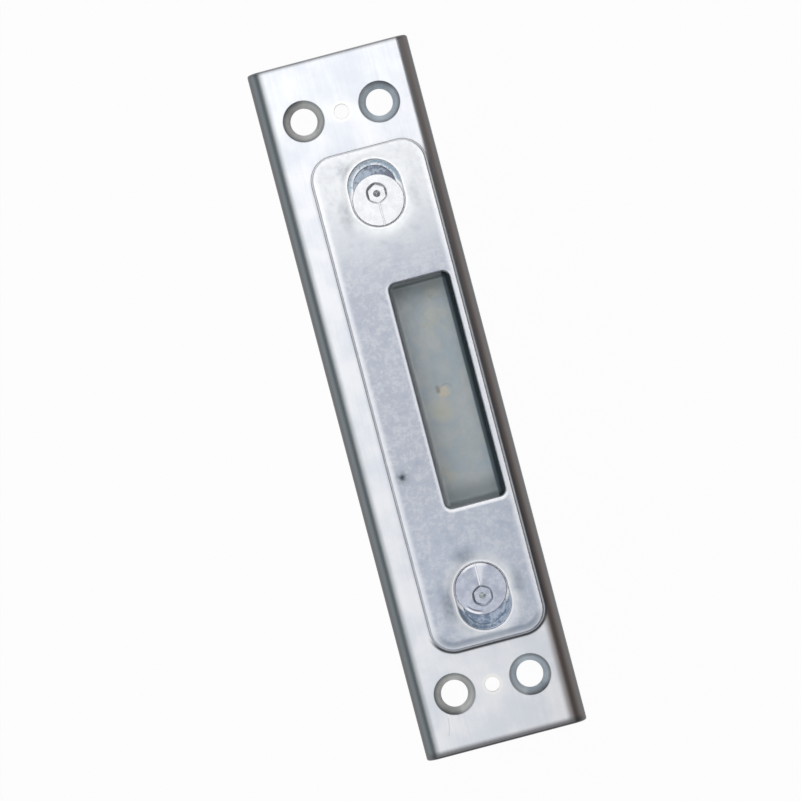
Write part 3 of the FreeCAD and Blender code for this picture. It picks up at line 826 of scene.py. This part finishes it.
camFinish = {
    "roughness": 0.28,
    "ringPitch": 0.18,
    "ringDepth": 0.0025,
    "dimpleReach": 0.85,
    "dimpleBlur": 0.25,
    "dullRange": (0.38, 0.66),
    "sheenLean": 0.18,
    "sheenRange": (0.36, 0.05),
    "sheenStart": (0.3, 1.2),
    "sheenColour": (0.88, 0.90, 0.95, 1.0),
    "flankStart": (0.3, 0.55),
    "flankEnd": (1.5, 0.9),
    "flankColour": (0.36, 0.39, 0.47, 1.0),
    "glintInsets": (0.6, 0.4),
    "nickInset": 0.75,
    "nickRange": (0.2, 0.05),
    "darkMarkColour": (0.10, 0.11, 0.14, 1.0),
    "sunkFrom": 0.04,
    "socketMargin": 0.3,
    "floorMargin": 0.05,
    "indexMargin": 0.02,
    # One finish painted as a lit copy and a shaded copy: the upper cam light with its dimple darkened, the lower
    # one darker and bluer with socket, dimple and index line painted bright
    "upper": {
        "colour": (0.80, 0.81, 0.835, 1.0),
        "dullColour": (0.74, 0.75, 0.775, 1.0),
        "socketColour": (0.80, 0.80, 0.83, 1.0),
        "dimpleColour": (0.64, 0.64, 0.69, 1.0),
        "indexColour": (0.80, 0.81, 0.84, 1.0),
        "sheen": 0.2,
        "flank": 0.0,
        "glints": [],
    },
    "lower": {
        "colour": (0.56, 0.59, 0.685, 1.0),
        "dullColour": (0.44, 0.47, 0.57, 1.0),
        "socketColour": (0.70, 0.75, 0.82, 1.0),
        "dimpleColour": (0.92, 0.97, 0.97, 1.0),
        "indexColour": (0.90, 0.91, 0.95, 1.0),
        "sheen": 0.6,
        "flank": 0.4,
        "glints": [
            {"direction": 95.0, "range": (0.78, 0.97), "nicked": False},
            {"direction": 238.0, "range": (0.91, 0.98), "nicked": True},
        ],
    },
}


def turnedCam(name, node, pivot, side):
    # A painted sheen with darker painted flanks lies beside the index line, and painted glints lie along the rim,
    # one over a dark nick
    look = {**camFinish, **camFinish[name]}
    top = cornersOf(node)[1].z
    material, shader, place = newMetal("turned_" + name + "_cam")
    x, y, z = place.split()
    away = fromPoint(x, y, pivot)
    turned = (away * (math.tau / look["ringPitch"])).sum("SINE") * 0.5 + 0.5
    blotch = cloud(place, 1.3, detail=4.0, roughness=0.6)
    shade = blotch.fade(*look["dullRange"]).blend(look["colour"], look["dullColour"])
    across = x - pivot.x
    along = y - (pivot.y - side * cam["throw"])
    out = (across * across + along * along).root()
    beside = abs(across / along - look["sheenLean"])
    ahead = (along * -side).fade(*look["sheenStart"])
    flank = beside.fade(*look["flankStart"]) * beside.fade(*look["flankEnd"]) * ahead
    shade = (flank * look["flank"]).blend(shade, look["flankColour"])
    sheen = beside.fade(*look["sheenRange"]) * ahead
    shade = (sheen * look["sheen"]).blend(shade, look["sheenColour"])
    rim = cam["diameter"] / 2
    for glint in look["glints"]:
        turn = math.radians(glint["direction"])
        facing = (across * math.cos(turn) + along * math.sin(turn)) / out
        arc = facing.fade(*glint["range"])
        band = out.fade(*[rim - inset for inset in look["glintInsets"]])
        shade = (arc * band).blend(shade, look["sheenColour"])
        if glint["nicked"]:
            darkMark = abs(out - rim + look["nickInset"]).fade(*look["nickRange"])
            shade = (arc * darkMark * 0.8).blend(shade, look["darkMarkColour"])
    sunk = z < top - look["sunkFrom"]
    inSocket = sunk * (z > top - cam["socketDepth"] + look["floorMargin"])
    inSocket = inSocket * (away < cam["socketMouth"] + look["socketMargin"])
    inIndex = sunk * (z > top - cam["indexDepth"] - look["indexMargin"])
    inIndex = inIndex * (abs(across) < cam["indexWidth"] / 2)
    shade = inIndex.blend(shade, look["indexColour"])
    shade = inSocket.blend(shade, look["socketColour"])
    reach = look["dimpleReach"]
    shade = away.fade(reach, reach - look["dimpleBlur"]).blend(shade, look["dimpleColour"])
    connect(shader, "Base Color", shade)
    connect(shader, "Roughness", blotch * 0.06 + (look["roughness"] - 0.03))
    relief(shader, turned, look["ringDepth"])
    return material


def cutIndex(piece, pivot, side, top):
    # The index line is a groove from the socket out to the rim, on the side of the plate's middle
    size = cam
    depth = size["indexDepth"]
    flare = size["indexWidth"] - size["indexFloor"]
    wide = (size["indexWidth"] + flare) / 2
    narrow = size["indexFloor"] / 2
    section = [(-wide, depth), (wide, depth), (narrow, -depth), (-narrow, -depth)]
    form = bmesh.new()
    ends = []
    for far in (size["indexStart"], size["diameter"]):
        along = pivot.y - side * far
        ends.append([form.verts.new((pivot.x + across, along, top + up)) for across, up in section])
    bridge(form, ends)
    for end in ends:
        form.faces.new(end)
    cutter = finishForm(form, "index_cutter", piece.data.materials[0], size["sharpAngle"])
    cut = piece.modifiers.new("index", "BOOLEAN")
    cut.operation = "DIFFERENCE"
    cut.solver = "EXACT"
    cut.object = cutter
    plainMesh(piece)
    bpy.data.objects.remove(cutter)
    piece.data.set_sharp_from_angle(angle=math.radians(size["sharpAngle"]))


def buildCam(name, node, pivot, side, material):
    # side is 1 for the upper cam and -1 for the lower one, which stands half a turn round
    size = cam
    low, high = cornersOf(node)
    disc = (pivot.x, pivot.y - side * size["throw"])
    turns = [math.tau * step / size["sides"] for step in range(size["sides"])]
    form = bmesh.new()

    def circle(centre, radius):
        return [(centre[0] + radius * math.cos(turn), centre[1] + radius * math.sin(turn)) for turn in turns]

    def hexagon(flat, roundness):
        # flat is half the width over flats, and a roundness of 1 makes a circle: two corners lie along Y
        points = []
        for turn in turns:
            lean = (turn + math.pi / 6) % (math.pi / 3) - math.pi / 6
            radius = flat * (roundness + (1 - roundness) / math.cos(lean))
            points.append((pivot.x + radius * math.cos(turn), pivot.y + radius * math.sin(turn)))
        return points

    radius = size["diameter"] / 2
    rings = [addRing(form, circle(disc, radius - inset), high.z - drop)
             for inset, drop in edgeRound(size["edgeRound"], size["roundSteps"], size["hem"])]
    discFoot = high.z - size["discThickness"]
    rings.append(addRing(form, circle(disc, radius), discFoot))
    bridge(form, rings)
    discFace, discUnder = rings[0], rings[-1]

    socketFoot = high.z - size["socketDepth"]
    flare = size["socketMouth"] + size["mouthFlare"]
    drafted = size["socketFloor"] + size["draftOver"]
    rings = [
        addRing(form, hexagon(flare + size["hem"], size["flareRoundness"]), high.z),
        addRing(form, hexagon(flare, size["flareRoundness"]), high.z),
        addRing(form, hexagon(size["socketMouth"], size["mouthRoundness"]), high.z - size["mouthDepth"]),
        addRing(form, hexagon(drafted, size["floorRoundness"]), high.z - size["draftDepth"]),
        addRing(form, hexagon(size["socketFloor"], size["floorRoundness"]), socketFoot),
        addRing(form, circle(pivot, size["dimpleRim"]), socketFoot),
        addRing(form, circle(pivot, size["dimpleFloor"]), socketFoot - size["dimpleDepth"]),
    ]
    bridge(form, rings)
    form.faces.new(rings[-1])
    fillBetween(form, [discFace, rings[0]])

    tailTop = low.z + size["tailThickness"]
    tailRadius = size["tail"] / 2
    rings = [addRing(form, circle(pivot, size["shank"] / 2), discFoot),
             addRing(form, circle(pivot, size["shank"] / 2), tailTop)]
    underside = edgeRound(size["tailRound"], size["roundSteps"], 0.0)[1:]
    rings.append(addRing(form, circle(pivot, tailRadius), tailTop))
    for inset, drop in reversed(underside):
        rings.append(addRing(form, circle(pivot, tailRadius - inset), low.z + drop))
    bridge(form, rings)
    form.faces.new(rings[-1])
    fillBetween(form, [discUnder, rings[0]])
    piece = finishForm(form, name, material, size["sharpAngle"])
    cutIndex(piece, pivot, side, high.z)
    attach(piece, node)
    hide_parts(node)
    print(name, "made:", len(piece.data.polygons), "faces")


# Bolt box: the frame's own piece, with a dull finish

boxFinish = {
    "colour": (0.49, 0.525, 0.535, 1.0),
    "warmColour": (0.53, 0.535, 0.46, 1.0),
    "blueColour": (0.41, 0.475, 0.52, 1.0),
    "wallColour": (0.82, 0.85, 0.87, 1.0),
    "shadeColour": (0.22, 0.28, 0.315, 1.0),
    "deepShade": (0.10, 0.13, 0.15, 1.0),
    "endShade": (0.28, 0.315, 0.325, 1.0),
    "roughness": 0.42,
    "grainDepth": 0.01,
    "mottle": (0.40, 0.62),
    "warmMottle": (0.34, 0.58),
    "warmPatches": [((8.6, 20.4), 2.6), ((7.8, 14.0), 4.0), ((1.6, -17.5), 3.4), ((4.4, -3.8), 3.4)],
    "upperEndShade": (17.0, 22.5),
    "lowerEndShade": (-17.5, -21.5),
    "footLine": (-22.0, -22.5),
    "wallRise": (1.3, 2.0),
    "leftWall": (-4.8, -6.0),
    "rightShade": (4.85, 5.25),
    "deepEnd": (6.5, 5.9),
    "floorTop": 2.0,
    "spot": {
        "centre": (5.65, -1.65),
        "half": (0.85, 0.95),
        "corner": 0.3,
        "lean": 0.25,
        "range": (0.5, -0.3),
    },
    "spotColour": (0.62, 0.57, 0.47, 1.0),
    "darkMark": {"centre": (4.55, 0.55), "half": (0.22, 0.6), "corner": 0.2, "range": (0.45, -0.1)},
    "darkMarkColour": (0.17, 0.175, 0.15, 1.0),
}


def drawnBox(middleX):
    look = boxFinish
    material, shader, place = newMetal("dull_zinc_box")
    x, y, z = place.split()

    def fromMiddle(limits):
        return x.fade(*[middleX + shift for shift in limits])

    broad = cloud(place, 3.5, detail=4.0, offset=0.4)
    specks = cloud(place, 0.9, detail=4.0)
    colour = (broad * 0.7 + specks * 0.3).fade(*look["mottle"]).blend(look["blueColour"], look["colour"])
    for centre, radius in look["warmPatches"]:
        patch = fromPoint(x, y, centre).fade(radius, radius * 0.2) * broad.fade(*look["warmMottle"])
        colour = (patch * 0.6).blend(colour, look["warmColour"])

    # Painted shade towards the ends, at the lower end's foot and along the wall by the outer side; the other walls
    # pale
    ends = y.fade(*look["upperEndShade"]).atLeast(y.fade(*look["lowerEndShade"]))
    colour = (ends * 0.75).blend(colour, look["endShade"])
    colour = (y.fade(*look["footLine"]) * 0.45).blend(colour, look["deepShade"])
    walls = z.fade(*look["wallRise"]).atLeast(fromMiddle(look["leftWall"]))
    colour = walls.blend(colour, look["wallColour"])
    shaded = fromMiddle(look["rightShade"])
    colour = shaded.blend(colour, look["shadeColour"])
    colour = (shaded * fromMiddle(look["deepEnd"])).blend(colour, look["deepShade"])

    # A tan spot on the floor with a dark mark beside it, painted shadow of a small hollow, both with uneven edges
    onFloor = z < look["floorTop"]
    mark = look["spot"]
    leanX, leanY = x + y * mark["lean"], y - x * mark["lean"]
    spot = fromRectangle(leanX, leanY, mark["centre"], mark["half"], mark["corner"]) + (specks - 0.5) * 0.9
    spot = spot.fade(*mark["range"]) * onFloor
    colour = (spot * 0.8).blend(colour, look["spotColour"])
    mark = look["darkMark"]
    darkMark = fromRectangle(x, y, mark["centre"], mark["half"], mark["corner"]) + (specks - 0.5) * 0.6
    darkMark = darkMark.fade(*mark["range"]) * onFloor
    colour = (darkMark * 0.5).blend(colour, look["darkMarkColour"])
    connect(shader, "Base Color", colour)
    connect(shader, "Roughness", specks * 0.12 + (look["roughness"] - 0.06))
    relief(shader, specks, look["grainDepth"])
    return material


def finishBox():
    low, high = cornersOf("bolt_box")
    box = frame["nodes"]["bolt_box"]
    box.data.materials.clear()
    box.data.materials.append(drawnBox((low.x + high.x) / 2))
    print("bolt box finished")


# Floor, lamps, surroundings and camera: the floor and lamps are in metres, the view in millimetres

stage = {
    "floorSize": 8.0,
    "floorDrop": 0.0002,
    "floorColour": (0.85, 0.85, 0.85, 1.0),
    "whiteShare": 0.965,
    "softbox": {"width": 0.56, "length": 1.3, "left": 0.125, "up": 0.2, "height": 0.9, "radiance": 1.05},
    "upperLamp": {"width": 0.35, "length": 0.3, "left": 0.03, "up": 0.24, "height": 0.88, "radiance": 0.45},
    "zenith": 0.10,
    "middle": 0.42,
    "middleRange": (0.8, 0.5),
    "horizon": 0.40,
    "horizonRange": (0.45, 0.1),
    "lean": 0.20,
    "coolColour": (0.97, 0.99, 1.0, 1.0),
    "warmColour": (1.0, 0.97, 0.94, 1.0),
    "tintRange": (-0.7, 0.7),
}

view = {
    "acrossFrame": 160.04,
    "lean": 14.77,
    "centre": (-3.32, 0.31),
    "distance": 600.0,
}


def onStage(left, up):
    # A place on the floor, given to the left and up as the camera sees it
    lean = math.radians(view["lean"])
    return (up * math.sin(lean) - left * math.cos(lean), up * math.cos(lean) + left * math.sin(lean))


def buildFloor():
    half = stage["floorSize"] / 2
    mesh = bpy.data.meshes.new("floor")
    corners = [(-half, -half, 0), (half, -half, 0), (half, half, 0), (-half, half, 0)]
    mesh.from_pydata(corners, [], [(0, 1, 2, 3)])
    floor = addMesh("floor", mesh)
    floor.location.z = -stage["floorDrop"]
    material = bpy.data.materials.new("pale_floor")
    material.use_nodes = True
    tree = material.node_tree
    tree.nodes.clear()
    wire = Wire(tree)
    rays = wire.make("ShaderNodeLightPath").socket.node.outputs
    seen = Wire(tree, rays["Is Camera Ray"])
    seen = seen.atLeast(Wire(tree, rays["Is Glossy Ray"])).atLeast(Wire(tree, rays["Is Transmission Ray"]))
    matt = wire.make("ShaderNodeBsdfDiffuse", values={"Color": stage["floorColour"]})
    white = wire.make("ShaderNodeEmission", values={"Strength": 1.0})
    mixed = wire.make("ShaderNodeMixShader", values={0: seen * stage["whiteShare"], 1: matt, 2: white})
    wire.make("ShaderNodeOutputMaterial", values={"Surface": mixed})
    mesh.materials.append(material)


def buildLight():
    for name in ("softbox", "upperLamp"):
        size = stage[name]
        lamp = bpy.data.lights.new(name, "AREA")
        lamp.shape = "RECTANGLE"
        lamp.size = size["width"]
        lamp.size_y = size["length"]
        lamp.energy = size["radiance"] * math.pi * lamp.size * lamp.size_y
        hung = bpy.data.objects.new(name, lamp)
        hung.location = (*onStage(size["left"], size["up"]), size["height"])
        hung.rotation_euler.z = -math.radians(view["lean"])
        bpy.context.scene.collection.objects.link(hung)

    # A room that is dim overhead and paler towards the horizon, most of all up and to the left
    world = bpy.data.worlds.new("studio")
    world.use_nodes = True
    wire = Wire(world.node_tree)
    x, y, z = wire.make("ShaderNodeTexCoord").split()
    level = z.fade(*stage["middleRange"]) * ((y - x) * stage["lean"] + stage["middle"]) + stage["zenith"]
    level = level + z.fade(*stage["horizonRange"]) * stage["horizon"]
    tint = x.fade(*stage["tintRange"]).blend(stage["coolColour"], stage["warmColour"])
    background = world.node_tree.nodes["Background"]
    connect(background, "Color", tint)
    connect(background, "Strength", level)
    bpy.context.scene.world = world
    bpy.context.scene.view_settings.view_transform = "Standard"


def buildCamera():
    high = cornersOf("base_channel")[1]
    lens = bpy.data.cameras.new("photo_camera")
    lens.lens = lens.sensor_width * view["distance"] / view["acrossFrame"]
    camera = bpy.data.objects.new("photo_camera", lens)
    camera.location = Vector((*view["centre"], high.z + view["distance"])) * mm
    camera.rotation_euler.z = -math.radians(view["lean"])
    bpy.context.scene.collection.objects.link(camera)
    bpy.context.scene.camera = camera


buildCamera()
buildFloor()
buildLight()
print("camera, floor and light placed")
buildChannel(platedSheet())
buildKeeper(castKeeper())
for camName, camPivot, camSide in (("upper", upperPivot, 1), ("lower", lowerPivot, -1)):
    camNode = camName + "_cam"
    camMaterial = turnedCam(camName, camNode, camPivot, camSide)
    buildCam(camNode + "_head", camNode, camPivot, camSide, camMaterial)
finishBox()
